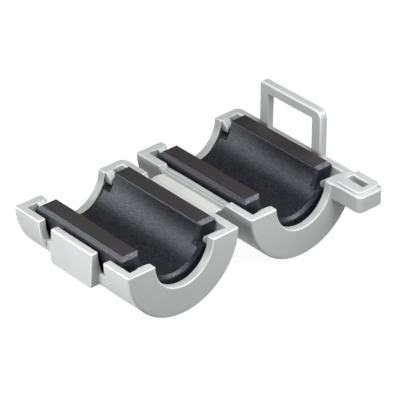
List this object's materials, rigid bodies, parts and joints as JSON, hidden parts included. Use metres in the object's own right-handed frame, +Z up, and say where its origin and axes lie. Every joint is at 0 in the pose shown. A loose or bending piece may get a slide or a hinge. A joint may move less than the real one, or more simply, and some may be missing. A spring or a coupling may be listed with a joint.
{
  "type": "clip-on ferrite bead",
  "caption": "Open clip-on ferrite bead: hinged round-backed plastic case with a latch loop, catch plate and cable-tie lug, holding ferrite half cores",
  "frame": {"origin": "on the bore axis of the catch-side core, on its mating face, halfway along the core", "axes": "+X across both halves towards the latch loop, which is the longest way; +Y along the cable; +Z up out of the open halves"},
  "size_m": [0.0638, 0.0458, 0.026],
  "materials": {
    "case_nylon": "satin moulded nylon",
    "ferrite": "fired and tumbled ferrite, dull"
  },
  "bodies": {
    "catch_half": {"catch_case": "case_nylon"},
    "web": {"hinge_web": "case_nylon"},
    "loop_half": {"loop_case": "case_nylon"},
    "latch": {"latch_loop": "case_nylon"},
    "core_in_catch": {"catch_core": "ferrite"},
    "core_in_loop": {"loop_core": "ferrite"}
  },
  "joints": [
    {"name": "web_fold", "type": "hinge", "parent": "catch_half", "child": "web", "pos_m": [0.0152, 0.0002, -0.003], "axis": [0, -1, 0], "range_deg": [0, 90]},
    {"name": "case_fold", "type": "hinge", "parent": "web", "child": "loop_half", "pos_m": [0.0182, 0.0002, -0.003], "axis": [0, -1, 0], "range_deg": [0, 90]},
    {"name": "latch_flex", "type": "hinge", "parent": "loop_half", "child": "latch", "pos_m": [0.0485, 0, -0.00155], "axis": [0, 1, 0], "range_deg": [0, 15], "stiffness_Nm_per_rad": 2},
    {"name": "catch_core_seat", "type": "slide", "parent": "catch_half", "child": "core_in_catch", "axis": [0, 0, -1], "range_m": [0, 0.00152]},
    {"name": "loop_core_seat", "type": "slide", "parent": "loop_half", "child": "core_in_loop", "axis": [0, 0, -1], "range_m": [0, 0.00152]}
  ],
  "couplings": [
    {"joint": "loop_core_seat", "follows": "catch_core_seat", "ratio": 1},
    {"joint": "web_fold", "follows": "catch_core_seat", "rad_per_m": 1033.4},
    {"joint": "case_fold", "follows": "catch_core_seat", "rad_per_m": 1033.4}
  ]
}
